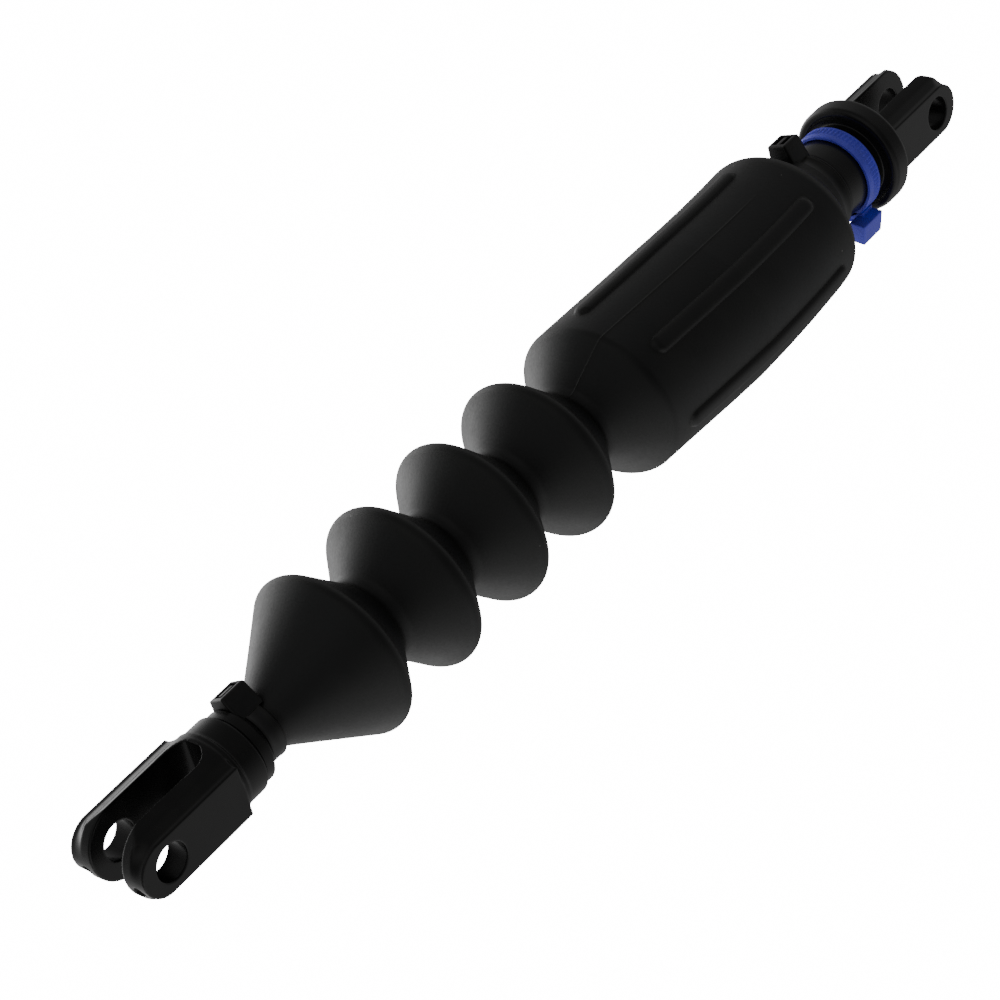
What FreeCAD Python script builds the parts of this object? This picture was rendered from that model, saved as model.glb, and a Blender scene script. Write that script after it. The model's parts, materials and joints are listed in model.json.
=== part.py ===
"""Coil-sprung rear shock with forked ends and a rubber bellows boot. Lengths are in millimetres.

The origin is the centre of the lower fork's pin bore. +X runs along the shock to the upper fork,
the pin bores lie along Y, and +Z is up. The shock is drawn fully extended.
"""
import FreeCAD, Part
import math
import os

# ---- driving dimensions ------------------------------------------------------------------
PIN_SPAN = 293.0            # lower pin centre to upper pin centre, fully extended
STROKE = 35.0               # travel of the rod towards the upper fork
BUSH_GAP = 0.05             # radial running clearance of a sliding fit

# forks, the same at both ends
PIN_BORE_R = 4.25           # clears an M8 pin
FORK_WIDTH = 20.4           # over the outer faces of the two ears
SLOT_WIDTH = 8.8
TIP_REACH = 8.2             # pin centre to the end of an ear
SLOT_DEPTH = 21.6           # pin centre to the bottom of the slot
LOBE_R = 10.2               # round core of the fork
LOBE_WIDTH = 14.0
LOBE_TIP_R = 9.4            # blunt arc of the core's tip, seen from the side
PLATE_HALF_HEIGHT = 6.4     # flat outer plate of an ear
PLATE_EDGE = 1.2            # straight part of the plate's edge; behind it the ear blends into the core
PLATE_LENGTH = 22.2         # pin centre to the plate's square end
MARK_R = 1.4                # round moulding mark on an ear's tip
MARK_DEPTH = 1.4            # measured from the very tip
MARK_SIDE = 7.28            # from the fork's middle plane to the mark's centre
MARK_BELOW_PIN = 2.6

# lower end: fork collar, spigot and boot cuff
COLLAR_R = 9.7
COLLAR_END = 29.5
SPIGOT_R = 4.7
SPIGOT_END = 43.0
ROD_SOCKET_START = 24.0
STOP_RING_END = 33.4
STOP_RING_R = 9.0
CUFF_START = 33.5
CUFF_END = 38.5
CUFF_R = 5.9
LOCK_NUT_THICK = 4.0
LOCK_NUT_FLATS = 10.0

# rubber boot
WALL = 1.6
BELLOWS_START = 38.8
BELLOWS_START_R = 6.3
DISC_R = 20.3
DISC_FIRST = 62.0
DISC_PITCH = 24.16
DISC_COUNT = 4
DISC_EDGE = 2.4             # half width of a disc's rounded edge
NECK_R = 9.6
BARREL_START = 147.4
BARREL_R = 20.4
BARREL_SHOULDER = 160.4
BARREL_END = 233.5
BOOT_TOP_FACE = 238.3
UPPER_CUFF_START = 245.2
SHOULDER_FOOT = (243.0, 12.1)   # where the shoulder's slope eases, X and radius
SHOULDER_STEP_R = 11.3      # end of the shoulder, level with the tie's strap
UPPER_CUFF_END = 251.2
UPPER_CUFF_R = 10.0
LIP_R = 10.7
RIB_COUNT = 6
RIB_START = 164.5
RIB_END = 228.0
RIB_WIDTH = 4.2
RIB_HEIGHT = 0.7
RIB_ANGLE = 45.0            # first rib, degrees from the top towards -Y

# upper end: stem and cap
STEM_R = 10.4
STEM_START = 251.3
UPPER_SPIGOT_R = 9.0
UPPER_SPIGOT_START = 233.0
CAP_R = 14.7
CAP_START = 265.7
CAP_END = 272.0
CAP_RECESS_DEPTH = 0.5
CAP_RIM = 2.3

# damper
ROD_R = 3.0
ROD_TAIL_R = 2.5
ROD_SHOULDER = 216.1
ROD_END = 225.6
TUBE_R = 7.5
TUBE_BORE_R = 6.2
TUBE_START = 205.0
TUBE_END = 266.0
PLUG_LENGTH = 4.0
GUIDE_START = 206.6
GUIDE_END = 213.6
RING_POCKET_R = 4.6         # pockets for the wiper and the rod seal
RING_POCKET_DEPTH = 2.0
O_RING_SECTION = 0.8
CIRCLIP_THICK = 1.0
TOP_OUT_END = 215.8
SHIM_THICK = 0.4
SHIM_R = 5.0
PISTON_LENGTH = 4.5
PISTON_R = 6.14
PORT_COUNT = 4
PISTON_NUT_FLATS = 7.0

# spring and its seats
SEAT_START = 159.45
SEAT_FLANGE = 161.5
SEAT_FACE = 164.0
SEAT_R = 16.4
PILOT_R = 10.6
PILOT_LENGTH = 3.0
BUMP_STOP_END = 169.2
UPPER_SEAT_FACE = 229.0
SPRING_MEAN_R = 12.6
SPRING_WIRE_R = 1.55
SPRING_TURNS = 6.5
THRUST_WASHER_THICK = 1.0

# cable ties
TIE_WIDTH = 4.7
TIE_THICK = 1.2
TIE_WINDOW_SPAN = 3.4       # the opening in the head that the strap's tail comes out of
TIE_WINDOW_DEPTH = 2.2
# a head: length along the shock, span at its foot and at its top, shift to one side,
# and the distances of its foot and its top from the axis
LOWER_TIE_HEAD = (7.5, 8.2, 4.6, -0.85, 6.0, 11.1)
UPPER_TIE_HEAD = (6.6, 7.8, 5.5, 0.7, 10.1, 16.6)
MARKER_TIE_HEAD = (7.4, 4.3, 3.6, 9.4, 10.1, 15.1)
LOWER_TIE_MID = 36.1
UPPER_TIE_MID = 247.9
MARKER_TIE_MID = 260.6
MARKER_HEAD_OFFSET = -0.7   # along the shock, from the strap's middle to the head's
LOWER_TIE_ANGLE = -25.5     # way a head points, in degrees from the top towards -Y
UPPER_TIE_ANGLE = -13.5
MARKER_TIE_ANGLE = 188.0
TIE_CLEARANCE = 0.35        # between a tie's head and what it overhangs

ORIGIN = FreeCAD.Vector(0, 0, 0)
ALONG = FreeCAD.Vector(1, 0, 0)
ACROSS = FreeCAD.Vector(0, 1, 0)
UP = FreeCAD.Vector(0, 0, 1)


# ---- helpers ------------------------------------------------------------------------------
def rod(start, end, radius):
    """A solid cylinder along X."""
    return Part.makeCylinder(radius, end - start, FreeCAD.Vector(start, 0, 0), ALONG)


def ring(start, end, outer, inner):
    """A plain ring along X."""
    return rod(start, end, outer).cut(rod(start - 1, end + 1, inner))


def turned(points):
    """A solid of revolution about X through a closed outline of (x, radius) points."""
    corners = [FreeCAD.Vector(x, 0, radius) for x, radius in points]
    face = Part.Face(Part.makePolygon(corners + corners[:1]))
    return face.revolve(ORIGIN, ALONG, 360)


def block(x_low, x_high, y_low, y_high, z_low, z_high):
    corner = FreeCAD.Vector(x_low, y_low, z_low)
    return Part.makeBox(x_high - x_low, y_high - y_low, z_high - z_low, corner)


def turn_about_x(shape, degrees):
    turned_shape = shape.copy()
    turned_shape.rotate(ORIGIN, ALONG, degrees)
    return turned_shape


def hex_nut(start, end, across_flats, bore):
    corner_r = across_flats / math.sqrt(3)
    points = []
    for side in range(6):
        angle = math.radians(60 * side)
        points.append(FreeCAD.Vector(start, corner_r * math.cos(angle), corner_r * math.sin(angle)))
    face = Part.Face(Part.makePolygon(points + points[:1]))
    blank = face.extrude(ALONG * (end - start))
    chamfer = turned([(start, 0), (start, across_flats * 0.51), (start + 0.6, corner_r),
                      (end - 0.6, corner_r), (end, across_flats * 0.51), (end, 0)])
    return blank.common(chamfer).cut(rod(start - 1, end + 1, bore))


def circlip(start, end, outer, inner):
    """A snap ring with a gap at the bottom."""
    gap = block(start - 1, end + 1, -inner * 0.35, inner * 0.35, -outer - 1, -inner * 0.3)
    return ring(start, end, outer, inner).cut(gap)


# ---- forks --------------------------------------------------------------------------------
def ear_outline(half_height, corner_x, tip_reach, length, y):
    """A flat bar's outline with a rounded tip, in the plane at `y`. The arc joins the two corners."""
    top = FreeCAD.Vector(corner_x, y, half_height)
    tip = FreeCAD.Vector(-tip_reach, y, 0)
    bottom = FreeCAD.Vector(corner_x, y, -half_height)
    bottom_end = FreeCAD.Vector(length, y, -half_height)
    top_end = FreeCAD.Vector(length, y, half_height)
    edges = [Part.Arc(top, tip, bottom).toShape(), Part.makeLine(bottom, bottom_end),
             Part.makeLine(bottom_end, top_end), Part.makeLine(top_end, top)]
    return Part.Wire(edges)


def ear_profile(half_height, corner_x, tip_reach, length, y_low, y_high):
    """A flat bar with a rounded tip, from the tip to `length`, between two Y faces."""
    face = Part.Face(ear_outline(half_height, corner_x, tip_reach, length, y_low))
    return face.extrude(ACROSS * (y_high - y_low))


def lobe_corner(height):
    """X where the core's blunt tip arc stands `height` above the pin's centre."""
    return LOBE_TIP_R - TIP_REACH - math.sqrt(LOBE_TIP_R ** 2 - height ** 2)


def fork(length):
    """The two ears of a fork: pin at the origin, body towards +X up to `length`."""
    lobe_outline = ear_profile(LOBE_TIP_R, LOBE_TIP_R - TIP_REACH, TIP_REACH, length,
                               -LOBE_WIDTH / 2, LOBE_WIDTH / 2)
    shape = lobe_outline.fuse(block(0, length, -LOBE_WIDTH / 2, LOBE_WIDTH / 2, -LOBE_R, LOBE_R))
    shape = shape.common(rod(-TIP_REACH - 1, length, LOBE_R))
    plate_corner = PLATE_HALF_HEIGHT - TIP_REACH
    shoulder = math.sqrt(LOBE_R ** 2 - (LOBE_WIDTH / 2) ** 2)
    for side in (-1, 1):
        inner = ear_outline(shoulder, lobe_corner(shoulder), TIP_REACH, PLATE_LENGTH, side * LOBE_WIDTH / 2)
        outer = ear_outline(PLATE_HALF_HEIGHT, plate_corner, TIP_REACH, PLATE_LENGTH,
                            side * (FORK_WIDTH / 2 - PLATE_EDGE))
        blend = Part.makeLoft([inner, outer], True, True)
        faces = sorted((side * FORK_WIDTH / 2, side * (FORK_WIDTH / 2 - PLATE_EDGE)))
        plate = ear_profile(PLATE_HALF_HEIGHT, plate_corner, TIP_REACH, PLATE_LENGTH, *faces)
        shape = shape.fuse(blend).fuse(plate)
    half_slot = SLOT_WIDTH / 2
    root_centre = SLOT_DEPTH - half_slot
    tall = 2 * LOBE_R
    slot = block(-2 * TIP_REACH, root_centre, -half_slot, half_slot, -tall, tall)
    root = Part.makeCylinder(half_slot, 2 * tall, FreeCAD.Vector(root_centre, 0, -tall), UP)
    bore = Part.makeCylinder(PIN_BORE_R, 2 * FORK_WIDTH, FreeCAD.Vector(0, -FORK_WIDTH, 0), ACROSS)
    return shape.cut(slot.fuse(root)).cut(bore)


def with_tip_marks(shape):
    """Cuts a shallow round mark into the end of each ear, low on the tip."""
    for side in (-1, 1):
        centre = FreeCAD.Vector(-TIP_REACH - 1, side * MARK_SIDE, -MARK_BELOW_PIN)
        shape = shape.cut(Part.makeCylinder(MARK_R, 1 + MARK_DEPTH, centre, ALONG))
    return shape


def lower_clevis():
    core_start = PLATE_LENGTH - 1.0
    collar = turned([(core_start, 0), (core_start, LOBE_R - 0.2), (PLATE_LENGTH + 1.3, LOBE_R - 0.1),
                     (PLATE_LENGTH + 1.8, COLLAR_R), (COLLAR_END - 0.4, COLLAR_R),
                     (COLLAR_END, COLLAR_R - 0.3), (COLLAR_END, 0)])
    spigot = rod(COLLAR_END - 1, SPIGOT_END, SPIGOT_R)
    socket = rod(ROD_SOCKET_START, SPIGOT_END + 1, ROD_R)
    return with_tip_marks(fork(PLATE_LENGTH).fuse(collar)).fuse(spigot).cut(socket)


def upper_clevis():
    """Cap, stem and spigot in one moulding with the fork, drawn about the upper pin."""
    ears = fork(PIN_SPAN - CAP_END + 1.0)
    ears.rotate(ORIGIN, UP, 180)
    ears.translate(ALONG * PIN_SPAN)
    cap = turned([(CAP_START, 0), (CAP_START, CAP_R - 1.0), (CAP_START + 0.3, CAP_R - 0.35),
                  (CAP_START + 1.0, CAP_R), (CAP_END - 1.2, CAP_R), (CAP_END - 0.3, CAP_R - 0.5),
                  (CAP_END, CAP_R - 1.4), (CAP_END, 0)])
    recess = ring(CAP_START - 1, CAP_START + CAP_RECESS_DEPTH, CAP_R - CAP_RIM, STEM_R)
    stem = rod(STEM_START, CAP_START + CAP_RECESS_DEPTH, STEM_R)
    spigot = rod(UPPER_SPIGOT_START, STEM_START + 1, UPPER_SPIGOT_R)
    socket = rod(UPPER_SPIGOT_START - 1, TUBE_END, TUBE_R)
    return ears.fuse(cap.cut(recess)).fuse(stem).fuse(spigot).cut(socket)


# ---- boot ---------------------------------------------------------------------------------
def boot_stop_ring():
    edge = 0.4
    return turned([(COLLAR_END, SPIGOT_R), (COLLAR_END, STOP_RING_R - edge),
                   (COLLAR_END + edge, STOP_RING_R), (STOP_RING_END - 1.2, STOP_RING_R),
                   (STOP_RING_END, STOP_RING_R - 1.2), (STOP_RING_END, SPIGOT_R)])


def bellows_outline():
    """Outer (x, radius) points of the bellows, from its small end to the barrel."""
    points = [(BELLOWS_START, BELLOWS_START_R)]
    for disc in range(DISC_COUNT):
        middle = DISC_FIRST + disc * DISC_PITCH
        points += [(middle - DISC_EDGE, DISC_R - 1.6), (middle - DISC_EDGE / 2, DISC_R - 0.3),
                   (middle, DISC_R), (middle + DISC_EDGE / 2, DISC_R - 0.3),
                   (middle + DISC_EDGE, DISC_R - 1.6)]
        valley = min(middle + DISC_PITCH / 2, BARREL_START - 0.8)
        points += [(valley - 0.8, NECK_R), (valley + 0.8, NECK_R)]
    return points


def shell(outline):
    """A turned rubber wall of thickness WALL under an outer outline."""
    inner = [(x, radius - WALL) for x, radius in reversed(outline)]
    return turned(outline + inner)


def boot_bellows():
    return shell(bellows_outline())


def boot_barrel():
    outer = [(BARREL_START, NECK_R), (BARREL_SHOULDER - 2.2, BARREL_R - 1.9),
             (BARREL_SHOULDER - 0.8, BARREL_R - 0.5), (BARREL_SHOULDER + 1.2, BARREL_R),
             (BARREL_END, BARREL_R), (BARREL_END + 2.4, BARREL_R - 0.7),
             (BOOT_TOP_FACE, BARREL_R - 2.7), SHOULDER_FOOT,
             (UPPER_CUFF_START + 0.2, SHOULDER_STEP_R), (UPPER_CUFF_START + 0.2, UPPER_CUFF_R),
             (UPPER_CUFF_END - 0.5, UPPER_CUFF_R), (UPPER_CUFF_END - 0.4, LIP_R), (UPPER_CUFF_END, LIP_R)]
    thick = 2.0
    inner = [(UPPER_CUFF_END, UPPER_SPIGOT_R), (UPPER_CUFF_START - 0.6, UPPER_SPIGOT_R),
             (BOOT_TOP_FACE - 1.6, BARREL_R - 2.7 - thick), (BARREL_END, BARREL_R - thick),
             (BARREL_SHOULDER + 1.2, BARREL_R - thick), (BARREL_SHOULDER - 2.2, BARREL_R - 1.9 - thick),
             (BARREL_START, NECK_R - WALL)]
    barrel = turned(outer + inner)
    for index in range(RIB_COUNT):
        barrel = barrel.fuse(turn_about_x(barrel_rib(), RIB_ANGLE + index * 360.0 / RIB_COUNT))
    return barrel.removeSplitter()


def barrel_rib():
    """One raised bar with round ends, on top of the barrel."""
    half = RIB_WIDTH / 2
    low = BARREL_R - 0.8
    height = BARREL_R + RIB_HEIGHT - low
    bar = block(RIB_START + half, RIB_END - half, -half, half, low, low + height)
    for centre in (RIB_START + half, RIB_END - half):
        bar = bar.fuse(Part.makeCylinder(half, height, FreeCAD.Vector(centre, 0, low), UP))
    return bar.removeSplitter()


def tie_head(middle, head):
    """The head pointing up: a prism that narrows to the top, with the strap's tail in its window."""
    length, foot_span, top_span, shift, foot, top = head
    start = middle - length / 2
    corners = [(shift - foot_span / 2, foot), (shift + foot_span / 2, foot),
               (shift + top_span / 2, top), (shift - top_span / 2, top)]
    outline = [FreeCAD.Vector(start, y, z) for y, z in corners]
    body = Part.Face(Part.makePolygon(outline + outline[:1])).extrude(ALONG * length)
    body = body.makeChamfer(0.4, [edge for edge in body.Edges if is_top_edge(edge, top)])
    half_window = TIE_WIDTH / 2 + 0.15
    half_span = min(TIE_WINDOW_SPAN, top_span - 1.2) / 2
    window = block(middle - half_window, middle + half_window, shift - half_span, shift + half_span,
                   top - TIE_WINDOW_DEPTH, top + 1)
    tail = block(middle - TIE_WIDTH / 2, middle + TIE_WIDTH / 2,
                 shift + half_span - TIE_THICK, shift + half_span,
                 top - TIE_WINDOW_DEPTH - 0.5, top - 0.3)
    return body.cut(window).fuse(tail)


def cable_tie(middle, inner_r, angle, head, neighbours=(), head_offset=0.0):
    """A cable tie closed round X. A straight run of strap reaches a head that stands off to one side."""
    outer_r = inner_r + TIE_THICK
    start, end = middle - TIE_WIDTH / 2, middle + TIE_WIDTH / 2
    length, shift, foot = head[0], head[3], head[4]
    tie = ring(start, end, outer_r, inner_r).fuse(tie_head(middle + head_offset, head))
    if shift > outer_r / 2:
        run = block(start, end, 0, shift, inner_r, outer_r)
        neck = block(start, end, shift - 3.2, shift - 0.4, 7.6, foot + 0.5)
        tie = tie.fuse(run).fuse(neck)
    tie = tie.cut(rod(middle - length, middle + length, inner_r))
    tie = turn_about_x(tie, angle)
    for neighbour in neighbours:
        tie = tie.cut(neighbour)
    return tie


def lower_cable_tie():
    """The head overhangs the stop ring on one side and the boot's first cone on the other."""
    stop_ring = rod(COLLAR_END, STOP_RING_END + 0.05, STOP_RING_R + 0.05)
    cone_start = BELLOWS_START - TIE_CLEARANCE
    cone = turned([(cone_start, 0), (cone_start, BELLOWS_START_R + 1.5 * TIE_CLEARANCE),
                   (DISC_FIRST, DISC_R + 1), (DISC_FIRST, 0)])
    return cable_tie(LOWER_TIE_MID, CUFF_R, LOWER_TIE_ANGLE, LOWER_TIE_HEAD, [stop_ring, cone])


def upper_cable_tie():
    """The head overhangs the cuff's lip and the stem on one side and the boot's shoulder on the other."""
    lip = rod(UPPER_CUFF_END - 0.55, CAP_START, LIP_R + 0.05)
    shoulder = turned([(BOOT_TOP_FACE, 0), (BOOT_TOP_FACE, BARREL_R - 2.5),
                       (SHOULDER_FOOT[0], SHOULDER_FOOT[1] + 0.2),
                       (UPPER_CUFF_START + 0.35, SHOULDER_STEP_R + 0.15), (UPPER_CUFF_START + 0.35, 0)])
    return cable_tie(UPPER_TIE_MID, UPPER_CUFF_R, UPPER_TIE_ANGLE, UPPER_TIE_HEAD, [lip, shoulder])


def is_top_edge(edge, top):
    """True for the two top edges of a tie's head that run along X."""
    low, high = edge.Vertexes[0].Point, edge.Vertexes[-1].Point
    at_top = abs(low.z - top) < 1e-6 and abs(high.z - top) < 1e-6
    return at_top and abs(low.y - high.y) < 1e-6


# ---- damper -------------------------------------------------------------------------------
def piston_rod():
    tail = rod(ROD_SHOULDER - 1, ROD_END, ROD_TAIL_R)
    shape = rod(ROD_SOCKET_START + 0.5, ROD_SHOULDER, ROD_R).fuse(tail)
    groove_end = SEAT_START - BUSH_GAP - THRUST_WASHER_THICK
    groove = ring(groove_end - CIRCLIP_THICK, groove_end, ROD_R + 1, ROD_R - 0.5)
    return shape.cut(groove)


def rod_circlip():
    end = SEAT_START - BUSH_GAP - THRUST_WASHER_THICK
    return circlip(end - CIRCLIP_THICK, end, ROD_R + 1.8, ROD_R - 0.5)


def thrust_washer():
    end = SEAT_START - BUSH_GAP
    return ring(end - THRUST_WASHER_THICK, end, 2 * ROD_R + 0.5, ROD_R)


def rod_lock_nut():
    return hex_nut(SPIGOT_END, SPIGOT_END + LOCK_NUT_THICK, LOCK_NUT_FLATS, ROD_R)


def damper_tube():
    tube = ring(TUBE_START, TUBE_END, TUBE_R, TUBE_BORE_R)
    clip_groove = rod(GUIDE_START - CIRCLIP_THICK, GUIDE_START, TUBE_BORE_R + 0.5)
    return tube.cut(clip_groove)


def end_plug():
    start = TUBE_END - PLUG_LENGTH
    middle = start + PLUG_LENGTH / 2
    groove = ring(middle - O_RING_SECTION, middle + O_RING_SECTION, TUBE_R, TUBE_BORE_R - O_RING_SECTION)
    return rod(start, TUBE_END, TUBE_BORE_R).cut(groove)


def bore_o_ring(middle):
    """A ring of square-cornered rubber, squeezed flat between a groove and the tube's bore."""
    half = O_RING_SECTION - 0.1
    outer, inner = TUBE_BORE_R, TUBE_BORE_R - O_RING_SECTION
    edge = 0.2
    return turned([(middle - half, inner + edge), (middle - half, outer - edge),
                   (middle - half + edge, outer), (middle + half - edge, outer),
                   (middle + half, outer - edge), (middle + half, inner + edge),
                   (middle + half - edge, inner), (middle - half + edge, inner)])


def rod_guide():
    guide = ring(GUIDE_START, GUIDE_END, TUBE_BORE_R, ROD_R + BUSH_GAP)
    middle = (GUIDE_START + GUIDE_END) / 2
    groove = ring(middle - O_RING_SECTION, middle + O_RING_SECTION, TUBE_R, TUBE_BORE_R - O_RING_SECTION)
    wiper_pocket = rod(GUIDE_START - 1, GUIDE_START + RING_POCKET_DEPTH, RING_POCKET_R)
    seal_pocket = rod(GUIDE_END - RING_POCKET_DEPTH, GUIDE_END + 1, RING_POCKET_R)
    return guide.cut(groove).cut(wiper_pocket).cut(seal_pocket)


def lipped_ring(start, end, lip_at_start):
    """A rubber rod seal whose lip runs on the rod at one end and whose back is cut away."""
    lip = ROD_R + BUSH_GAP
    back = lip + 0.6
    points = [(start, lip), (start, RING_POCKET_R), (end, RING_POCKET_R), (end, back)]
    if not lip_at_start:
        points = [(start, back), (start, RING_POCKET_R), (end, RING_POCKET_R), (end, lip)]
    return turned(points)


def piston():
    start = ROD_SHOULDER + SHIM_THICK
    end = start + PISTON_LENGTH
    body = ring(start, end, PISTON_R, ROD_TAIL_R)
    middle = (start + end) / 2
    body = body.cut(ring(middle - 1, middle + 1, PISTON_R + 1, PISTON_R - 0.9))
    for index in range(PORT_COUNT):
        port = Part.makeCylinder(0.6, end - start + 2, FreeCAD.Vector(start - 1, 0, 3.9), ALONG)
        body = body.cut(turn_about_x(port, 45 + index * 360.0 / PORT_COUNT))
    return body


def piston_ring():
    middle = ROD_SHOULDER + SHIM_THICK + PISTON_LENGTH / 2
    return ring(middle - 0.95, middle + 0.95, PISTON_R + 0.02, PISTON_R - 0.9)


def piston_nut():
    start = ROD_SHOULDER + 2 * SHIM_THICK + PISTON_LENGTH
    return hex_nut(start, ROD_END - 0.4, PISTON_NUT_FLATS, ROD_TAIL_R)


# ---- spring -------------------------------------------------------------------------------
def lower_spring_seat():
    pilot_end = SEAT_FACE + PILOT_LENGTH
    bore = ROD_R + BUSH_GAP
    return turned([(SEAT_START, bore), (SEAT_START, 8.0), (SEAT_FLANGE, 9.5), (SEAT_FLANGE, SEAT_R),
                   (SEAT_FACE, SEAT_R), (SEAT_FACE, PILOT_R), (pilot_end - 0.8, PILOT_R),
                   (pilot_end, PILOT_R - 0.8), (pilot_end, bore)])


def upper_spring_seat():
    pilot_start = UPPER_SEAT_FACE - PILOT_LENGTH
    return turned([(pilot_start, TUBE_R), (pilot_start, PILOT_R - 0.8), (pilot_start + 0.8, PILOT_R),
                   (UPPER_SEAT_FACE, PILOT_R), (UPPER_SEAT_FACE, SEAT_R),
                   (UPPER_SPIGOT_START - 1, SEAT_R), (UPPER_SPIGOT_START, SEAT_R - 1),
                   (UPPER_SPIGOT_START, TUBE_R)])


def coil_spring():
    end_gap = SPRING_WIRE_R + 0.05
    start = SEAT_FACE + end_gap
    height = UPPER_SEAT_FACE - SEAT_FACE - 2 * end_gap
    helix = Part.makeHelix(height / SPRING_TURNS, height, SPRING_MEAN_R)
    section = Part.Wire(Part.makeCircle(SPRING_WIRE_R, FreeCAD.Vector(SPRING_MEAN_R, 0, 0), ACROSS))
    spring = Part.Wire(helix).makePipeShell([section], True, True)
    spring.rotate(ORIGIN, ACROSS, 90)
    spring.translate(ALONG * start)
    return spring


# ---- the whole shock ----------------------------------------------------------------------
PARTS = {
    "lower_clevis": lower_clevis(),
    "boot_stop_ring": boot_stop_ring(),
    "boot_lower_cuff": ring(CUFF_START, CUFF_END, CUFF_R, SPIGOT_R),
    "lower_cable_tie": lower_cable_tie(),
    "rod_lock_nut": rod_lock_nut(),
    "piston_rod": piston_rod(),
    "rod_circlip": rod_circlip(),
    "thrust_washer": thrust_washer(),
    "rebound_shim": ring(ROD_SHOULDER, ROD_SHOULDER + SHIM_THICK, SHIM_R, ROD_TAIL_R),
    "piston": piston(),
    "piston_ring": piston_ring(),
    "compression_shim": ring(ROD_SHOULDER + SHIM_THICK + PISTON_LENGTH,
                             ROD_SHOULDER + 2 * SHIM_THICK + PISTON_LENGTH, SHIM_R, ROD_TAIL_R),
    "piston_nut": piston_nut(),
    "lower_spring_seat": lower_spring_seat(),
    "bump_stop": ring(SEAT_FACE + PILOT_LENGTH, BUMP_STOP_END, 2 * ROD_R + 1, ROD_R + 0.3),
    "coil_spring": coil_spring(),
    "upper_spring_seat": upper_spring_seat(),
    "damper_tube": damper_tube(),
    "guide_circlip": circlip(GUIDE_START - CIRCLIP_THICK, GUIDE_START,
                             TUBE_BORE_R + 0.5, TUBE_BORE_R - 1.3),
    "rod_wiper": lipped_ring(GUIDE_START, GUIDE_START + RING_POCKET_DEPTH, True),
    "rod_guide": rod_guide(),
    "guide_o_ring": bore_o_ring((GUIDE_START + GUIDE_END) / 2),
    "rod_seal": lipped_ring(GUIDE_END - RING_POCKET_DEPTH, GUIDE_END, False),
    "top_out_bumper": ring(GUIDE_END, TOP_OUT_END, TUBE_BORE_R - 0.6, ROD_R + 0.3),
    "end_plug": end_plug(),
    "end_plug_o_ring": bore_o_ring(TUBE_END - PLUG_LENGTH / 2),
    "boot_bellows": boot_bellows(),
    "boot_barrel": boot_barrel(),
    "upper_cable_tie": upper_cable_tie(),
    "marker_cable_tie": cable_tie(MARKER_TIE_MID, STEM_R, MARKER_TIE_ANGLE, MARKER_TIE_HEAD,
                                  head_offset=MARKER_HEAD_OFFSET),
    "upper_clevis": upper_clevis(),
}

os.makedirs("parts", exist_ok=True)
for name, shape in PARTS.items():
    solids = shape.Solids
    if len(solids) != 1 or not solids[0].isValid():
        print("check", name, len(solids), shape.isValid())
    solids[0].exportStep(f"parts/{name}.step")

wire_length = SPRING_TURNS * math.hypot(2 * math.pi * SPRING_MEAN_R,
                                        (UPPER_SEAT_FACE - SEAT_FACE) / SPRING_TURNS)
print(f"{len(PARTS)} parts, spring volume {PARTS['coil_spring'].Volume:.0f} mm3,",
      f"wire length times section {wire_length * math.pi * SPRING_WIRE_R ** 2:.0f} mm3,",
      f"stroke left past the piston nut {TUBE_END - PLUG_LENGTH - ROD_END - STROKE:.1f} mm")
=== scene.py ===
"""The looks of a bicycle rear shock: rubber boot, moulded forks, cable ties and the parts inside."""

import json
import math
from collections import namedtuple

import bmesh
import bpy
import numpy as np
from mathutils import Matrix, Vector


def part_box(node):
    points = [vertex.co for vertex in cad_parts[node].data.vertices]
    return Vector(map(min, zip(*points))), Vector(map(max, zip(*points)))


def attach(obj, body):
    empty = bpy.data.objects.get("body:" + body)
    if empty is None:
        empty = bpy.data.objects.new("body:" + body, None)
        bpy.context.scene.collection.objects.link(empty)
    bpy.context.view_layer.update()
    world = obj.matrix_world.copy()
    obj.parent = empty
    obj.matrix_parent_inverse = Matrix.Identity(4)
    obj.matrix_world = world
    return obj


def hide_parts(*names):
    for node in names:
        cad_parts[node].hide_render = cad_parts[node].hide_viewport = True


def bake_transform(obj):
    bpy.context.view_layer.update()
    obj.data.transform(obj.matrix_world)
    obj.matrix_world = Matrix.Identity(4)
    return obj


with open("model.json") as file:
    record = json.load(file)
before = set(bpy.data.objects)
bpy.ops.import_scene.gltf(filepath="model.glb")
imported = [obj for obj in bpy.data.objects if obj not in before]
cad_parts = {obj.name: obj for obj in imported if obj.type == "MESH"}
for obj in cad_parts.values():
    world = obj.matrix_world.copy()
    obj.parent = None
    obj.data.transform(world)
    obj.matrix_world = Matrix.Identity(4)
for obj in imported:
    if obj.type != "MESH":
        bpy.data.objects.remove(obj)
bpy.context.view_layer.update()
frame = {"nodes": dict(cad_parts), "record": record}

MM = 0.001
TOP_BODY, SEAT_BODY, LOW_BODY = "upper_body", "sliding_seat", "lower_end"


# ---------------------------------------------------------------- camera, light and floor

CAMERA_LENS = 105.19
CAMERA_PLACE = (-0.24338, -0.37984, 0.37120)
# degrees: the way the camera looks from, round from +X and up, and how far it is rolled
CAMERA_ROUND = -133.772
CAMERA_ABOVE = 35.274
CAMERA_ROLL = -15.045


def add_camera():
    lens = bpy.data.cameras.new("camera")
    lens.lens = CAMERA_LENS
    lens.sensor_width = 36
    lens.clip_start = 0.01
    camera = bpy.data.objects.new("camera", lens)
    bpy.context.scene.collection.objects.link(camera)
    place = Matrix.Translation(CAMERA_PLACE)
    for degrees, axis in ((CAMERA_ROUND + 90, "Z"), (90 - CAMERA_ABOVE, "X"), (CAMERA_ROLL, "Z")):
        place = place @ Matrix.Rotation(math.radians(degrees), 4, axis)
    camera.matrix_world = place
    bpy.context.scene.camera = camera


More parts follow.
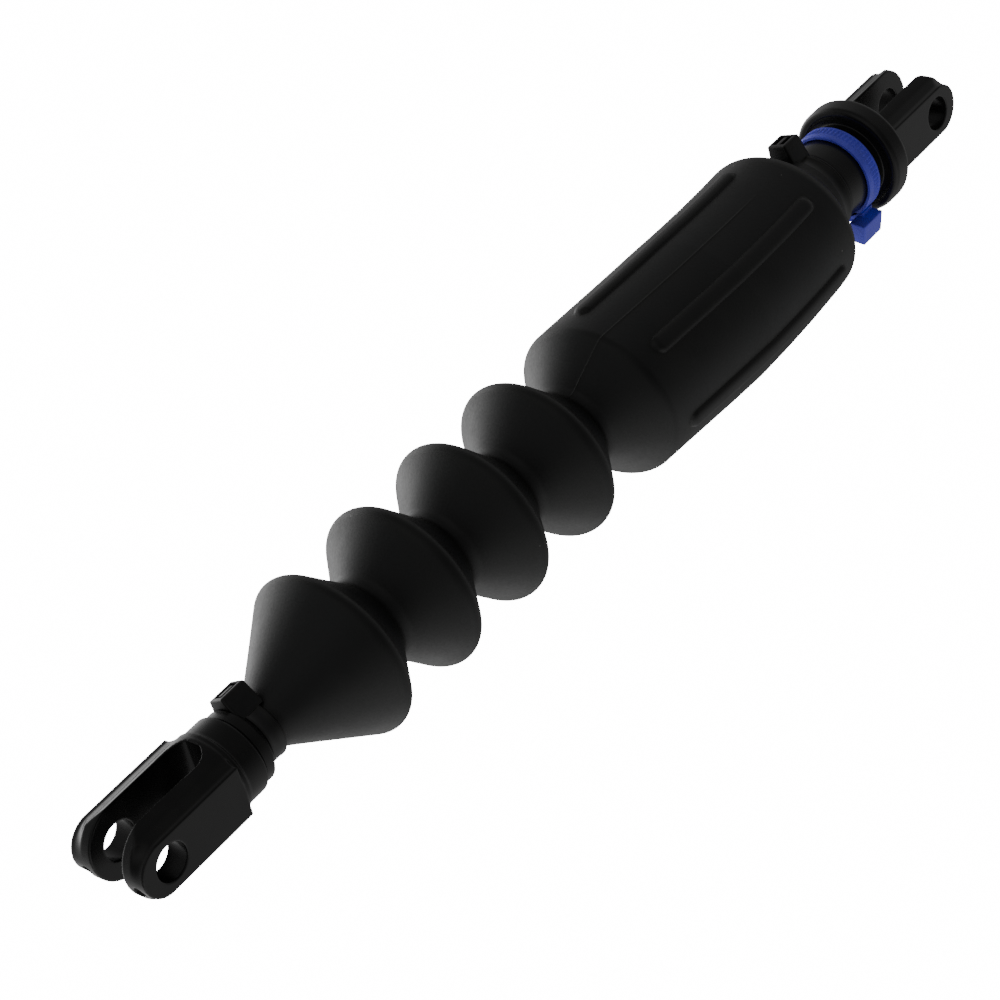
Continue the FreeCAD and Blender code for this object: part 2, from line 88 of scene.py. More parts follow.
# strength and direction of each soft light round the object
SOFT_LIGHTS = [
    (4.2, (-0.05, 1.0, -0.08)),
    (1.41, (-0.16, 0.17, -0.97)),
    (0.86, (-0.27, -0.76, -0.58)),
    (0.45, (-0.87, -0.28, -0.42)),
    (0.38, (0.8, -0.37, -0.47)),
    (0.37, (0.8, 0.29, 0.53)),
    (0.35, (0.95, -0.21, 0.25)),
    (0.35, (-0.65, -0.12, 0.75)),
    (0.28, (-0.29, 0.27, 0.92)),
    (0.26, (0.04, -0.51, 0.86)),
    (0.23, (-0.4, -0.31, -0.86)),
    (0.21, (0.36, -0.56, -0.75)),
    (0.19, (-0.82, -0.48, 0.31)),
    (0.18, (0.21, -0.93, -0.31)),
]
SOFT_LIGHT_FOCUS = 7.5
SOFT_LIGHT_TINT = (0.8, 0.8, 0.8, 1)
AMBIENT = 0.02
FLOOR_GLOW = 16.0
FLOOR_MIDDLE = (0.15, 0, -0.35)
FLOOR_HALF = 4.0


def add_world():
    """A dim studio with broad soft lights, each fading smoothly with the angle from its direction."""
    world = bpy.data.worlds.new("studio")
    world.use_nodes = True
    bpy.context.scene.world = world
    tree = world.node_tree
    coords = tree.nodes.new("ShaderNodeTexCoord")
    total = None
    for strength, way in SOFT_LIGHTS:
        dot = tree.nodes.new("ShaderNodeVectorMath")
        dot.operation = "DOT_PRODUCT"
        dot.inputs[1].default_value = Vector(way).normalized()
        tree.links.new(coords.outputs["Generated"], dot.inputs[0])
        level = tree.nodes.new("ShaderNodeMath")
        level.operation = "MULTIPLY_ADD"
        level.inputs[1].default_value = SOFT_LIGHT_FOCUS
        level.inputs[2].default_value = math.log(strength) - SOFT_LIGHT_FOCUS
        tree.links.new(dot.outputs["Value"], level.inputs[0])
        glow = tree.nodes.new("ShaderNodeMath")
        glow.operation = "EXPONENT"
        tree.links.new(level.outputs[0], glow.inputs[0])
        if total is None:
            total = glow.outputs[0]
            continue
        joined = tree.nodes.new("ShaderNodeMath")
        tree.links.new(total, joined.inputs[0])
        tree.links.new(glow.outputs[0], joined.inputs[1])
        total = joined.outputs[0]
    lifted = tree.nodes.new("ShaderNodeMath")
    lifted.inputs[1].default_value = AMBIENT
    tree.links.new(total, lifted.inputs[0])
    soft = tree.nodes["Background"]
    soft.inputs["Color"].default_value = SOFT_LIGHT_TINT
    tree.links.new(lifted.outputs[0], soft.inputs["Strength"])
    # past the floor's edge the camera sees a backdrop as pale as the floor
    backdrop = tree.nodes.new("ShaderNodeBackground")
    backdrop.inputs["Color"].default_value = (1, 1, 1, 1)
    backdrop.inputs["Strength"].default_value = FLOOR_GLOW
    rays = tree.nodes.new("ShaderNodeLightPath")
    mixed = tree.nodes.new("ShaderNodeMixShader")
    tree.links.new(rays.outputs["Is Camera Ray"], mixed.inputs["Fac"])
    tree.links.new(soft.outputs[0], mixed.inputs[1])
    tree.links.new(backdrop.outputs[0], mixed.inputs[2])
    tree.links.new(mixed.outputs[0], tree.nodes["World Output"].inputs["Surface"])


def add_floor():
    mesh = bpy.data.meshes.new("floor")
    corners = [(x * FLOOR_HALF, y * FLOOR_HALF, 0) for x, y in ((-1, -1), (1, -1), (1, 1), (-1, 1))]
    mesh.from_pydata(corners, [], [(0, 1, 2, 3)])
    floor = bpy.data.objects.new("floor", mesh)
    bpy.context.scene.collection.objects.link(floor)
    floor.location = FLOOR_MIDDLE
    paint = bpy.data.materials.new("floor")
    paint.use_nodes = True
    tree = paint.node_tree
    tree.nodes.remove(tree.nodes["Principled BSDF"])
    glow = tree.nodes.new("ShaderNodeEmission")
    glow.inputs["Strength"].default_value = FLOOR_GLOW
    tree.links.new(glow.outputs[0], tree.nodes["Material Output"].inputs["Surface"])
    for ray in ("diffuse", "glossy", "transmission", "shadow"):
        setattr(floor, "visible_" + ray, False)
    mesh.materials.append(paint)


add_camera()
add_world()
add_floor()


# ---------------------------------------------------------------- materials


class Paint:
    """A material made of nodes: a shader with noise, specks and grain on the part's own coordinates."""

    def __init__(self, name, **constants):
        self.material = bpy.data.materials.new(name)
        self.material.use_nodes = True
        self.nodes = self.material.node_tree.nodes
        self.links = self.material.node_tree.links
        self.shader = self.nodes["Principled BSDF"]
        for socket, value in constants.items():
            self.shader.inputs[socket.replace("_", " ")].default_value = value
        self.place = self.nodes.new("ShaderNodeTexCoord").outputs["Object"]

    def stretched(self, scale):
        node = self.nodes.new("ShaderNodeMapping")
        node.inputs["Scale"].default_value = scale
        self.links.new(self.place, node.inputs["Vector"])
        return node.outputs["Vector"]

    def noise(self, scale, detail=3.0, roughness=0.55, stretch=None):
        node = self.nodes.new("ShaderNodeTexNoise")
        node.inputs["Scale"].default_value = scale
        node.inputs["Detail"].default_value = detail
        node.inputs["Roughness"].default_value = roughness
        self.links.new(self.stretched(stretch) if stretch else self.place, node.inputs["Vector"])
        return node.outputs["Fac"]

    def span(self, value, low, high, to_low=0.0, to_high=1.0):
        node = self.nodes.new("ShaderNodeMapRange")
        ends = {"From Min": low, "From Max": high, "To Min": to_low, "To Max": to_high}
        for socket, number in ends.items():
            node.inputs[socket].default_value = number
        self.links.new(value, node.inputs["Value"])
        return node.outputs["Result"]

    def spread(self, noise, to_low=0.0, to_high=1.0):
        """A noise, most of which lies between 0.3 and 0.7, spread over a range."""
        return self.span(noise, 0.3, 0.7, to_low, to_high)

    def sums(self, operation, a, b):
        node = self.nodes.new("ShaderNodeMath")
        node.operation = operation
        for socket, value in zip(node.inputs, (a, b)):
            if isinstance(value, (int, float)):
                socket.default_value = value
            else:
                self.links.new(value, socket)
        return node.outputs["Value"]

    def mix(self, factor, a, b):
        node = self.nodes.new("ShaderNodeMix")
        node.data_type = "RGBA"
        self.links.new(factor, node.inputs["Factor"])
        for socket, value in ((node.inputs[6], a), (node.inputs[7], b)):
            if isinstance(value, tuple):
                socket.default_value = (*value, 1)
            else:
                self.links.new(value, socket)
        return node.outputs[2]

    def specks(self, scale, radius, share):
        """1 on sparse round specks, 0 elsewhere: share of the cells hold one."""
        node = self.nodes.new("ShaderNodeTexVoronoi")
        node.inputs["Scale"].default_value = scale
        self.links.new(self.place, node.inputs["Vector"])
        split = self.nodes.new("ShaderNodeSeparateColor")
        self.links.new(node.outputs["Color"], split.inputs["Color"])
        inside = self.sums("LESS_THAN", node.outputs["Distance"], radius)
        chosen = self.sums("LESS_THAN", split.outputs[0], share)
        return self.sums("MULTIPLY", inside, chosen)

    def bump(self, height, distance, strength=1.0, under=None):
        node = self.nodes.new("ShaderNodeBump")
        node.inputs["Strength"].default_value = strength
        node.inputs["Distance"].default_value = distance
        self.links.new(height, node.inputs["Height"])
        if under:
            self.links.new(under, node.inputs["Normal"])
        return node.outputs["Normal"]

    def put(self, socket, value):
        self.links.new(value, self.shader.inputs[socket])


def rubber():
    paint = Paint("boot_rubber", Specular_IOR_Level=0.32)
    mottle = paint.noise(90, 4)
    fine = paint.noise(1500, 2)
    grain = paint.noise(5200, 2)
    tint = paint.mix(paint.spread(mottle), (0.0062, 0.0062, 0.0064), (0.0105, 0.0104, 0.0103))
    dust = paint.sums("MULTIPLY", paint.specks(330, 0.07, 0.035), 0.8)
    paint.put("Base Color", paint.mix(dust, tint, (0.16, 0.155, 0.15)))
    rough = paint.sums("ADD", paint.spread(mottle, 0.40, 0.50), paint.spread(fine, -0.03, 0.03))
    paint.put("Roughness", rough)
    paint.put("Normal", paint.bump(grain, 0.00002, 0.6, paint.bump(fine, 0.00004, 0.5)))
    return paint.material


def fork_plastic():
    paint = Paint("fork_plastic", Specular_IOR_Level=0.30)
    cloud = paint.noise(140, 3)
    grain = paint.noise(4200, 2)
    scuff = paint.noise(900, 4, 0.7, (1, 0.25, 1))
    tint = paint.mix(paint.spread(cloud), (0.0072, 0.0072, 0.0074), (0.0112, 0.0110, 0.0108))
    paint.put("Base Color", tint)
    scuffed = paint.span(scuff, 0.55, 0.8, 0.0, 0.16)
    paint.put("Roughness", paint.sums("ADD", paint.spread(cloud, 0.20, 0.27), scuffed))
    paint.put("Normal", paint.bump(grain, 0.000012, 0.5))
    return paint.material


def tie_nylon(name, dark, light, rough, gloss):
    paint = Paint(name, Specular_IOR_Level=gloss)
    cloud = paint.noise(260, 3)
    grain = paint.noise(5200, 2)
    paint.put("Base Color", paint.mix(paint.spread(cloud), dark, light))
    paint.put("Roughness", paint.spread(cloud, rough - 0.05, rough + 0.05))
    paint.put("Normal", paint.bump(grain, 0.000012, 0.4))
    return paint.material


def metal(name, tint, rough, stretch=(1, 1, 1)):
    paint = Paint(name, Metallic=1.0)
    streak = paint.noise(1200, 3, 0.6, stretch)
    cloud = paint.noise(120, 2)
    darker = tuple(0.82 * c for c in tint)
    paint.put("Base Color", paint.mix(paint.spread(cloud), darker, tint))
    paint.put("Roughness", paint.spread(streak, rough - 0.07, rough + 0.07))
    paint.put("Normal", paint.bump(streak, 0.00001, 0.4))
    return paint.material


def plain_polymer(name, tint, rough):
    paint = Paint(name, Specular_IOR_Level=0.4)
    cloud = paint.noise(200, 3)
    grain = paint.noise(2600, 2)
    darker = tuple(0.75 * c for c in tint)
    paint.put("Base Color", paint.mix(paint.spread(cloud), darker, tint))
    paint.put("Roughness", paint.spread(cloud, rough - 0.06, rough + 0.06))
    paint.put("Normal", paint.bump(grain, 0.00002, 0.4))
    return paint.material


TURNED = (12, 1, 1)
DRAWN_WIRE = (1, 4, 4)
PAINTS = {
    "boot_rubber": rubber(),
    "fork_plastic": fork_plastic(),
    "black_tie": tie_nylon("black_tie", (0.005, 0.005, 0.005), (0.0085, 0.0085, 0.0085), 0.34, 0.4),
    "blue_tie": tie_nylon("blue_tie", (0.072, 0.074, 0.64), (0.100, 0.102, 0.84), 0.38, 0.42),
    "anodised_aluminium": metal("anodised_aluminium", (0.56, 0.57, 0.59), 0.34, TURNED),
    "bright_steel": metal("bright_steel", (0.72, 0.72, 0.73), 0.16, TURNED),
    "zinc_steel": metal("zinc_steel", (0.55, 0.57, 0.58), 0.38),
    "spring_steel": metal("spring_steel", (0.30, 0.31, 0.33), 0.32, DRAWN_WIRE),
    "seat_plastic": plain_polymer("seat_plastic", (0.72, 0.71, 0.66), 0.42),
    "seal_rubber": plain_polymer("seal_rubber", (0.020, 0.020, 0.021), 0.6),
}


# ---------------------------------------------------------------- shape helpers


def add_mesh(name, points, faces, paint, smooth_under=None):
    """A mesh object from points in millimetres."""
    mesh = bpy.data.meshes.new(name)
    mesh.from_pydata([tuple(p) for p in np.asarray(points) * MM], [], faces)
    mesh.validate()
    thing = bpy.data.objects.new(name, mesh)
    bpy.context.scene.collection.objects.link(thing)
    mesh.materials.append(PAINTS[paint])
    shade(thing, smooth_under)
    return thing


def shade(thing, smooth_under=None):
    mesh = thing.data
    mesh.polygons.foreach_set("use_smooth", [True] * len(mesh.polygons))
    if smooth_under:
        mesh.set_sharp_from_angle(angle=math.radians(smooth_under))


def smoothstep(value, low, high):
    t = np.clip((value - low) / (high - low), 0, 1)
    return t * t * (3 - 2 * t)


def rounded_line(corners, step):
    """Points about step apart along a polyline of (x, r, fillet radius) corners."""
    line = []
    last = len(corners) - 1
    for i, (x, r, fillet) in enumerate(corners):
        here = np.array((x, r), float)
        if fillet == 0 or i in (0, last):
            line.append(here)
            continue
        before = np.array(corners[i - 1][:2], float) - here
        after = np.array(corners[i + 1][:2], float) - here
        before_u = before / np.linalg.norm(before)
        after_u = after / np.linalg.norm(after)
        half = math.acos(np.clip(before_u @ after_u, -1, 1)) / 2
        middle = (before_u + after_u) / np.linalg.norm(before_u + after_u)
        centre = here + middle * fillet / math.sin(half)
        reach = fillet / math.tan(half)
        first = here + before_u * reach - centre
        second = here + after_u * reach - centre
        sweep = math.atan2(first[0] * second[1] - first[1] * second[0], first @ second)
        count = max(3, round(abs(sweep) * fillet / step))
        for k in range(count + 1):
            a = sweep * k / count
            c, s = math.cos(a), math.sin(a)
            line.append(centre + np.array((first[0] * c - first[1] * s, first[0] * s + first[1] * c)))
    full = [line[0]]
    for point in line[1:]:
        run = np.linalg.norm(point - full[-1])
        if run < 1e-6:
            continue
        count = max(1, math.ceil(run / step - 0.2))
        start = full[-1]
        full += [start + (point - start) * k / count for k in range(1, count + 1)]
    return np.array(full)


def inward(line, depth):
    """The line moved by depth towards the axis, along its own normals."""
    way = np.gradient(line, axis=0)
    way /= np.linalg.norm(way, axis=1)[:, None]
    normal = np.stack((way[:, 1], -way[:, 0]), axis=1)
    return line + normal * depth


def ring_faces(rows, columns):
    """Quads of a closed tube of closed rings: point (i, j) is i * columns + j."""
    i, j = np.meshgrid(np.arange(rows), np.arange(columns), indexing="ij")
    i2, j2 = (i + 1) % rows, (j + 1) % columns
    quads = np.stack((i * columns + j, i * columns + j2, i2 * columns + j2, i2 * columns + j), axis=-1)
    return quads.reshape(-1, 4).tolist()


def around_x(x, r, angle):
    """Points at radius r, turned angle (radians) from the top towards -Y."""
    return np.stack((x, -r * np.sin(angle), r * np.cos(angle)), axis=-1)


# ---------------------------------------------------------------- the boot

DISC_CORNERS = [(62.46, 21.2), (86.39, 21.65), (110.53, 21.6), (134.61, 21.5)]
NECK_CORNERS = [(74.24, 9.42), (98.24, 9.3), (122.42, 8.85), (147.20, 9.55)]
DISC_FILLET = 2.7
NECK_FILLET = 2.6
# corners (x, r, fillet radius) of the two cuffs and of the barrel between
LOWER_CUFF = [(33.6, 5.9, 0), (38.6, 5.9, 0.9), (40.2, 6.6, 1.2)]
BARREL = [(158.13, 20.42, 3.24), (179.0, 20.6, 0), (197.0, 20.85, 0), (215.0, 20.6, 0), (235.9, 20.25, 4.4)]
UPPER_CUFF = [(243.2, 12.3, 2.4), (246.5, 11.9, 0.6), (246.7, 10.0, 0.1), (250.4, 10.0, 0.2),
              (250.55, 10.7, 0.25), (251.2, 10.7, 0.2), (251.2, 10.2, 0)]
SKIN_STEP = 0.42
BARREL_R = 20.4
RIB_COUNT = 6
RIB_FIRST = 45.0
RIB_HALF_WIDTH = 2.3
RIB_HEIGHT = 1.05
RIB_ROUNDNESS = 2.6
RIB_FROM = 164.5
RIB_TO = 229.0
SEAM_ANGLE = 16.0
SEAM_HEIGHT = 0.13
SEAM_HALF_WIDTH = 0.2
SEAM_FAINT = 0.06
SEAM_FADES_IN = (142, 150)
SEAM_FADES_OUT = (212, 224)
# the skin's points around: even steps, more of them beside each rib's and the seam's middle, none too close
EVEN_COLUMNS = 264
RIB_COLUMNS = (0.4, 0.8, 1.15, 1.45, 1.7, 1.9, 2.05, 2.15, 2.22, 2.3, 2.45, 2.7)
SEAM_COLUMNS = (-0.6, -0.35, -0.2, -0.1, 0, 0.1, 0.2, 0.35, 0.6)
LEAST_GAP = 0.12
SWELL_COUNT = 14
SWELL_HEIGHT = 0.035
WALL = 1.4
LEAN_WAY = (0.6998, 0.7143)
# along the shock, sideways shift of the middle line, and tilt of the cross-section
LEAN = [(30, 0, 0), (38, 0, 0), (44, 0.25, 0), (62, 0.43, 0.01), (86, 0.30, -0.01), (110, 0.08, -0.01),
        (134, 0.08, 0.01), (150, -0.13, 0.09), (162, -0.42, 0.05), (175, -0.82, 0.02), (186, -1.13, 0.03),
        (197, -1.34, 0.05), (208, -1.33, 0.09), (219, -1.12, 0.12), (230, -0.64, 0.15), (237, -0.1, 0.08),
        (247, 0, 0), (262, 0, 0)]


def boot_outline():
    corners = list(LOWER_CUFF)
    for disc, neck in zip(DISC_CORNERS, NECK_CORNERS):
        corners += [(*disc, DISC_FILLET), (*neck, NECK_FILLET)]
    return rounded_line(corners + BARREL + UPPER_CUFF, SKIN_STEP)


def boot_angles():
    """Even steps around, closer together at the ribs' edges and at the parting line, in radians."""
    angles = set(np.round(np.linspace(0, 360, EVEN_COLUMNS, endpoint=False), 4))
    per_mm = math.degrees(1 / BARREL_R)
    for k in range(RIB_COUNT):
        middle = RIB_FIRST + 360 / RIB_COUNT * k
        for side in (-1, 1):
            for off in RIB_COLUMNS:
                angles.add(round((middle + side * off * per_mm) % 360, 4))
    for off in SEAM_COLUMNS:
        angles.add(round(SEAM_ANGLE + off * per_mm, 4))
    ordered = sorted(angles)
    kept = [ordered[0]]
    for angle in ordered[1:]:
        if angle - kept[-1] > LEAST_GAP:
            kept.append(angle)
    return np.radians(kept)


def across_from(angle, degrees):
    """How far round the barrel, in millimetres, an angle lies from the line at so many degrees."""
    return np.radians((np.degrees(angle) - degrees + 180) % 360 - 180) * BARREL_R


def rib_height(x, angle):
    """Six long bars with a rounded back and round ends."""
    total = np.zeros_like(x)
    past = np.maximum(np.maximum(RIB_FROM + RIB_HALF_WIDTH - x, x - RIB_TO + RIB_HALF_WIDTH), 0)
    for k in range(RIB_COUNT):
        across = across_from(angle, RIB_FIRST + 360 / RIB_COUNT * k)
        away = np.clip(np.hypot(across, past) / RIB_HALF_WIDTH, 0, 1)
        total += RIB_HEIGHT * np.sqrt(1 - away ** RIB_ROUNDNESS)
    return total


def seam_height(x, angle):
    """The mould's parting line, which shows on the barrel and is faint elsewhere."""
    ridge = SEAM_HEIGHT * np.exp(-(across_from(angle, SEAM_ANGLE) / SEAM_HALF_WIDTH) ** 2)
    on_barrel = smoothstep(x, *SEAM_FADES_IN) * (1 - smoothstep(x, *SEAM_FADES_OUT))
    return ridge * (SEAM_FAINT + (1 - SEAM_FAINT) * on_barrel)


def unevenness(x, angle, r):
    """Slow swells of the thin rubber wall, none on the narrow cuffs."""
    wave = np.zeros_like(x)
    rng = np.random.default_rng(11)
    for _ in range(SWELL_COUNT):
        around = rng.integers(1, 5)
        along = rng.uniform(0.02, 0.11)
        phase = rng.uniform(0, 6.28, 2)
        wave += np.sin(around * angle + phase[0]) * np.sin(along * x + phase[1])
    return SWELL_HEIGHT * wave * smoothstep(r, 7, 16)


def leaned(points, x):
    """The boot's points, moved to the sagging middle line that LEAN describes, smoothed over 8 mm."""
    lean = np.array(LEAN)
    fine = np.arange(20, 275, 0.5)
    kernel = np.hanning(17)
    kernel /= kernel.sum()
    smooth = [np.convolve(np.interp(fine, lean[:, 0], lean[:, k]), kernel, "same") for k in (1, 2)]
    shift, tilt = (np.interp(x, fine, values) for values in smooth)
    sideways = points[..., 1] * LEAN_WAY[0] + points[..., 2] * LEAN_WAY[1]
    moves = (-tilt * sideways, shift * LEAN_WAY[0], shift * LEAN_WAY[1])
    return points + np.stack(moves, axis=-1)


def build_boot():
    outline = boot_outline()
    angles = boot_angles()
    outer_x, around = np.meshgrid(outline[:, 0], angles, indexing="ij")
    outer_r = outline[:, 1][:, None] + rib_height(outer_x, around) + seam_height(outer_x, around)
    outer_r += unevenness(outer_x, around, outer_r)
    inner = inward(outline, WALL)[::-1]
    inner[:, 0] = np.clip(inner[:, 0], outline[0, 0], outline[-1, 0])
    inner_x = np.repeat(inner[:, :1], len(angles), axis=1)
    inner_r = np.repeat(inner[:, 1:], len(angles), axis=1)
    x = np.concatenate((outer_x, inner_x))
    r = np.concatenate((outer_r, inner_r))
    points = leaned(around_x(x, r, np.concatenate((around, around))), x)
    boot = add_mesh("boot", points.reshape(-1, 3), ring_faces(len(x), len(angles)), "boot_rubber")
    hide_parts("boot_bellows", "boot_barrel", "boot_lower_cuff")
    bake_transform(boot)


build_boot()


# ---------------------------------------------------------------- forks, the CAD shapes with moulded edges

PIN_BORE_R = 4.25
PIN_SPAN = 293.0
BORE_RIM = 0.45
CAP_FROM = 264.7
CAP_TO = 268.4
CAP_RIM_R = 10.6
VOXEL = 0.24


def evaluated(thing):
    """The mesh of an object with its modifiers applied."""
    bpy.context.view_layer.update()
    mesh = bpy.data.meshes.new_from_object(thing.evaluated_get(bpy.context.evaluated_depsgraph_get()))
    thing.modifiers.clear()
    thing.data = mesh
    return mesh


def soften(thing, name, chosen, rounds):
    """A smoothing modifier on the chosen points of a mesh."""
    group = thing.vertex_groups.new(name=name)
    group.add(np.flatnonzero(chosen).tolist(), 1.0, "REPLACE")
    smooth = thing.modifiers.new(name, "SMOOTH")
    smooth.factor = 0.5
    smooth.iterations = rounds
    smooth.vertex_group = name


def moulded(node, body, pin_x, rounds):
    """A copy of a CAD node with soft edges, softest on the cap's rim and crisp at the pin bore's rims."""
    thing = bpy.data.objects.new(node + "_moulded", frame["nodes"][node].data.copy())
    bpy.context.scene.collection.objects.link(thing)
    remesh = thing.modifiers.new("remesh", "REMESH")
    remesh.mode = "VOXEL"
    remesh.voxel_size = VOXEL * MM
    mesh = evaluated(thing)
    points = np.empty(len(mesh.vertices) * 3)
    mesh.vertices.foreach_get("co", points)
    x, y, z = points.reshape(-1, 3).T / MM
    soften(thing, "soft", np.hypot(x - pin_x, z) > PIN_BORE_R + BORE_RIM, rounds)
    soften(thing, "rim", (x > CAP_FROM) & (x < CAP_TO) & (np.hypot(y, z) > CAP_RIM_R), 10)
    final = evaluated(thing)
    final.materials.clear()
    final.materials.append(PAINTS["fork_plastic"])
    shade(thing)
    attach(thing, body)
    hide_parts(node)


moulded("lower_clevis", LOW_BODY, 0, 3)
moulded("upper_clevis", TOP_BODY, PIN_SPAN, 4)


# ---------------------------------------------------------------- cable ties

TIE_WIDTH = 4.7
TIE_THICK = 1.2
TIE_CORNER = 0.3
RAIL = 0.85
TOOTH_PITCH = 1.15
TOOTH_STEPS = 8
TOOTH_RISE = 0.62
TOOTH_DEPTH = 0.26
TOOTH_SINK = 0.2
BAND_SINK = 0.08
GROOVE_SINK = 0.12
SMOOTH_STEPS = 240
HEAD_EDGE = 0.55
HEAD_TAPER = 0.25
WINDOW_RIM = 0.45
WINDOW_SLOPE = 0.3
WINDOW_DEPTH = 0.75
BLOCK_EDGE = 0.25
TAIL_EDGE = 0.14
TAIL_DEPTH = 1.6
TAIL_SINK = 0.12
NECK_FROM = 8.0
NECK_HALF_SPAN = 3.0

# a tie's head: its length along the shock, its span around the shock at its foot and top, its shift around,
# the distance of foot and top from the shock's middle line, and its shift along the shock
Head = namedtuple("Head", "length foot_span top_span shift foot top along", defaults=(0.0,))


def strap_section(toothed):
    """(x, height, toothed) round the strap's section, anticlockwise; toothed is 1 on the toothed band."""
    half, top = TIE_WIDTH / 2, TIE_THICK
    side = half - TIE_CORNER
    start = [(-side, 0, 0), (side, 0, 0), (half, TIE_CORNER, 0)]
    rail = [(half, top - TIE_CORNER, 0), (side, top, 0), (half - RAIL, top, 0)]
    if toothed:
        band = [(x, top - BAND_SINK, 1) for x in (half - RAIL - 0.1, 0.5, -0.2, -0.75)]
        band.append((-0.85, top, 0))
    else:
        groove = half - RAIL - 0.25
        band = [(groove, top - GROOVE_SINK, 0), (-groove, top - GROOVE_SINK, 0), (RAIL - half, top, 0)]
    end = [(-side, top, 0), (-half, top - TIE_CORNER, 0), (-half, TIE_CORNER, 0)]
    return np.array(start + rail + band + end)


def build_strap(middle, inner_r, toothed):
    section = strap_section(toothed)
    teeth = round(2 * math.pi * (inner_r + TIE_THICK) / TOOTH_PITCH)
    steps = teeth * TOOTH_STEPS if toothed else SMOOTH_STEPS
    angle = np.arange(steps) / steps * 2 * math.pi
    beat = np.arange(steps) % TOOTH_STEPS / TOOTH_STEPS
    saw = np.where(beat < TOOTH_RISE, beat / TOOTH_RISE, (1 - beat) / (1 - TOOTH_RISE))
    tooth = saw * TOOTH_DEPTH - TOOTH_SINK
    x = middle + section[:, 0][None, :] + 0 * angle[:, None]
    r = inner_r + section[:, 1][None, :] + section[:, 2][None, :] * tooth[:, None]
    points = around_x(x, r, angle[:, None] + 0 * x).reshape(-1, 3)
    return points, ring_faces(steps, len(section))


def frustum(bm, low, high, low_half, high_half, shift):
    """A closed block with a foot and a top; halves are (along the shock, around it), shift is around it."""
    corners = []
    for level, (half_x, half_y) in ((low, low_half), (high, high_half)):
        for sx, sy in ((-1, -1), (1, -1), (1, 1), (-1, 1)):
            corners.append(bm.verts.new((sx * half_x, shift + sy * half_y, level)))
    bm.faces.new(corners[3::-1])
    bm.faces.new(corners[4:])
    for k in range(4):
        n = (k + 1) % 4
        bm.faces.new((corners[k], corners[n], corners[n + 4], corners[k + 4]))


def bevel(bm, edges, offset, segments):
    bmesh.ops.bevel(bm, geom=list(edges), offset=offset, segments=segments, profile=0.6, affect="EDGES",
                    clamp_overlap=True)


def finished(bm, along=0.0):
    """The points and faces of a small mesh, moved along the shock; the mesh is then let go."""
    bm.verts.index_update()
    points = [(v.co.x + along, v.co.y, v.co.z) for v in bm.verts]
    faces = [[v.index for v in f.verts] for f in bm.faces]
    bm.free()
    return points, faces


def bar(low, high, halves, shift, edge, along=0.0):
    """A block with softened edges."""
    bm = bmesh.new()
    frustum(bm, low, high, halves, halves, shift)
    bevel(bm, bm.edges, edge, 2)
    return finished(bm, along)


def head_block(head):
    """The block with the window that the strap's tail comes out of."""
    at_foot = (head.length / 2, head.foot_span / 2)
    at_top = (head.length / 2 - HEAD_TAPER, head.top_span / 2)
    bm = bmesh.new()
    frustum(bm, head.foot, head.top, at_foot, at_top, head.shift)
    bevel(bm, bm.edges, HEAD_EDGE, 4)
    window = max(bm.faces, key=lambda f: f.calc_center_median().z + f.normal.z)
    bmesh.ops.inset_region(bm, faces=[window], thickness=WINDOW_RIM, depth=0)
    bmesh.ops.inset_region(bm, faces=[window], thickness=WINDOW_SLOPE, depth=-WINDOW_DEPTH)
    return finished(bm, head.along)


def build_head(head, inner_r):
    """A tie's head and what joins it to the strap, in the tie's frame: X along the shock, Z outwards."""
    half = TIE_WIDTH / 2
    tail = (half - 0.5, TIE_THICK / 2 - 0.05)
    tail_from, tail_to = head.top - TAIL_DEPTH, head.top - TAIL_SINK
    parts = [head_block(head), bar(tail_from, tail_to, tail, head.shift + 0.15, TAIL_EDGE, head.along)]
    if head.shift > inner_r / 2:
        # a head beside the strap: the strap runs straight on to it, and a neck fills the corner
        parts.append(bar(inner_r, inner_r + TIE_THICK, (half, head.shift / 2), head.shift / 2, BLOCK_EDGE))
        parts.append(bar(NECK_FROM, head.foot + 1.4, (half, NECK_HALF_SPAN), head.shift - 3.4, BLOCK_EDGE))
    return parts


def cable_tie(name, node, body, slot, middle, inner_r, angle, head, toothed=False):
    strap, faces = build_strap(middle, inner_r, toothed)
    points = [strap]
    count = len(strap)
    c, s = math.cos(math.radians(angle)), math.sin(math.radians(angle))
    for part_points, part_faces in build_head(head, inner_r):
        x, y, z = np.array(part_points).T
        points.append(np.stack((x + middle, c * y - s * z, s * y + c * z), axis=-1))
        faces += [[v + count for v in f] for f in part_faces]
        count += len(part_points)
    tie = add_mesh(name, np.concatenate(points), faces, slot, 35)
    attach(tie, body)
    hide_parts(node)


cable_tie("lower_tie", "lower_cable_tie", LOW_BODY, "black_tie", 36.1, 5.95, -25.5,
          Head(length=7.5, foot_span=8.2, top_span=4.6, shift=-0.85, foot=5.2, top=11.1))
cable_tie("upper_tie", "upper_cable_tie", TOP_BODY, "black_tie", 247.9, 10.05, -13.5,
          Head(length=6.6, foot_span=7.8, top_span=5.5, shift=0.7, foot=9.6, top=16.6))
cable_tie("marker_tie", "marker_cable_tie", TOP_BODY, "blue_tie", 260.6, 10.45, 188,
          Head(length=8.5, foot_span=4.5, top_span=3.8, shift=9.4, foot=9.2, top=15.1, along=-1.25),
          toothed=True)


# ---------------------------------------------------------------- the spring

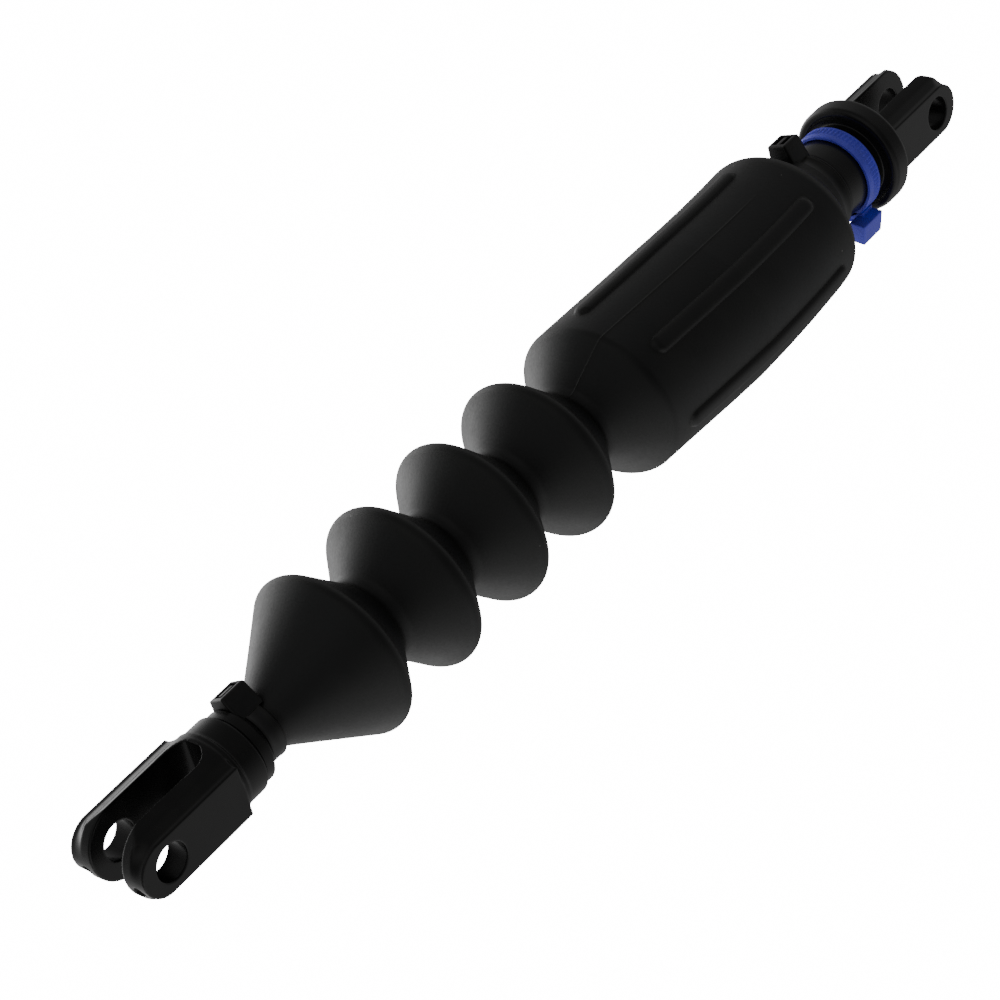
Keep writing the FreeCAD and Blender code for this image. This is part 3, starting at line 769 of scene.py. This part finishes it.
SPRING_MEAN_R = 12.6
SPRING_WIRE_R = 1.55
SPRING_TURNS = 6.5
SPRING_CLOSED_TURNS = 0.75
CLOSED_PITCH = 1.8 * SPRING_WIRE_R
STEPS_PER_TURN = 72
WIRE_SIDES = 16


def build_spring():
    low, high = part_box("coil_spring")
    first, last = low.x / MM, high.x / MM
    t = np.linspace(0, SPRING_TURNS, round(SPRING_TURNS * STEPS_PER_TURN) + 1)
    start, end = first + SPRING_WIRE_R, last - SPRING_WIRE_R
    open_turns = SPRING_TURNS - 2 * SPRING_CLOSED_TURNS
    open_pitch = (end - start - 2 * CLOSED_PITCH * SPRING_CLOSED_TURNS) / open_turns
    closed = (t < SPRING_CLOSED_TURNS) | (t > SPRING_TURNS - SPRING_CLOSED_TURNS)
    rise = np.where(closed, CLOSED_PITCH, open_pitch)
    climb = np.concatenate(([0], np.cumsum((rise[1:] + rise[:-1]) / 2 * np.diff(t))))
    turn = 2 * math.pi * t
    centre = around_x(start + climb * (end - start) / climb[-1], SPRING_MEAN_R, turn)
    along = np.gradient(centre, axis=0)
    along /= np.linalg.norm(along, axis=1)[:, None]
    out = around_x(0 * t, 1, turn)
    side = np.cross(along, out)
    a = (np.arange(WIRE_SIDES) / WIRE_SIDES * 2 * math.pi)[None, :, None]
    around_wire = np.cos(a) * out[:, None, :] + np.sin(a) * side[:, None, :]
    points = centre[:, None, :] + SPRING_WIRE_R * around_wire
    last_ring = (len(t) - 1) * WIRE_SIDES
    faces = ring_faces(len(t), WIRE_SIDES)[:last_ring]
    faces += [list(range(WIRE_SIDES))[::-1], [last_ring + k for k in range(WIRE_SIDES)]]
    spring = add_mesh("spring", points.reshape(-1, 3), faces, "spring_steel", 40)
    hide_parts("coil_spring")
    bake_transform(spring)


build_spring()


# ---------------------------------------------------------------- the CAD parts that stay

for part in frame["record"]["subparts"]:
    thing = frame["nodes"][part["node"]]
    if not thing.hide_render:
        thing.data.materials.clear()
        thing.data.materials.append(PAINTS[part["material_slot"]])
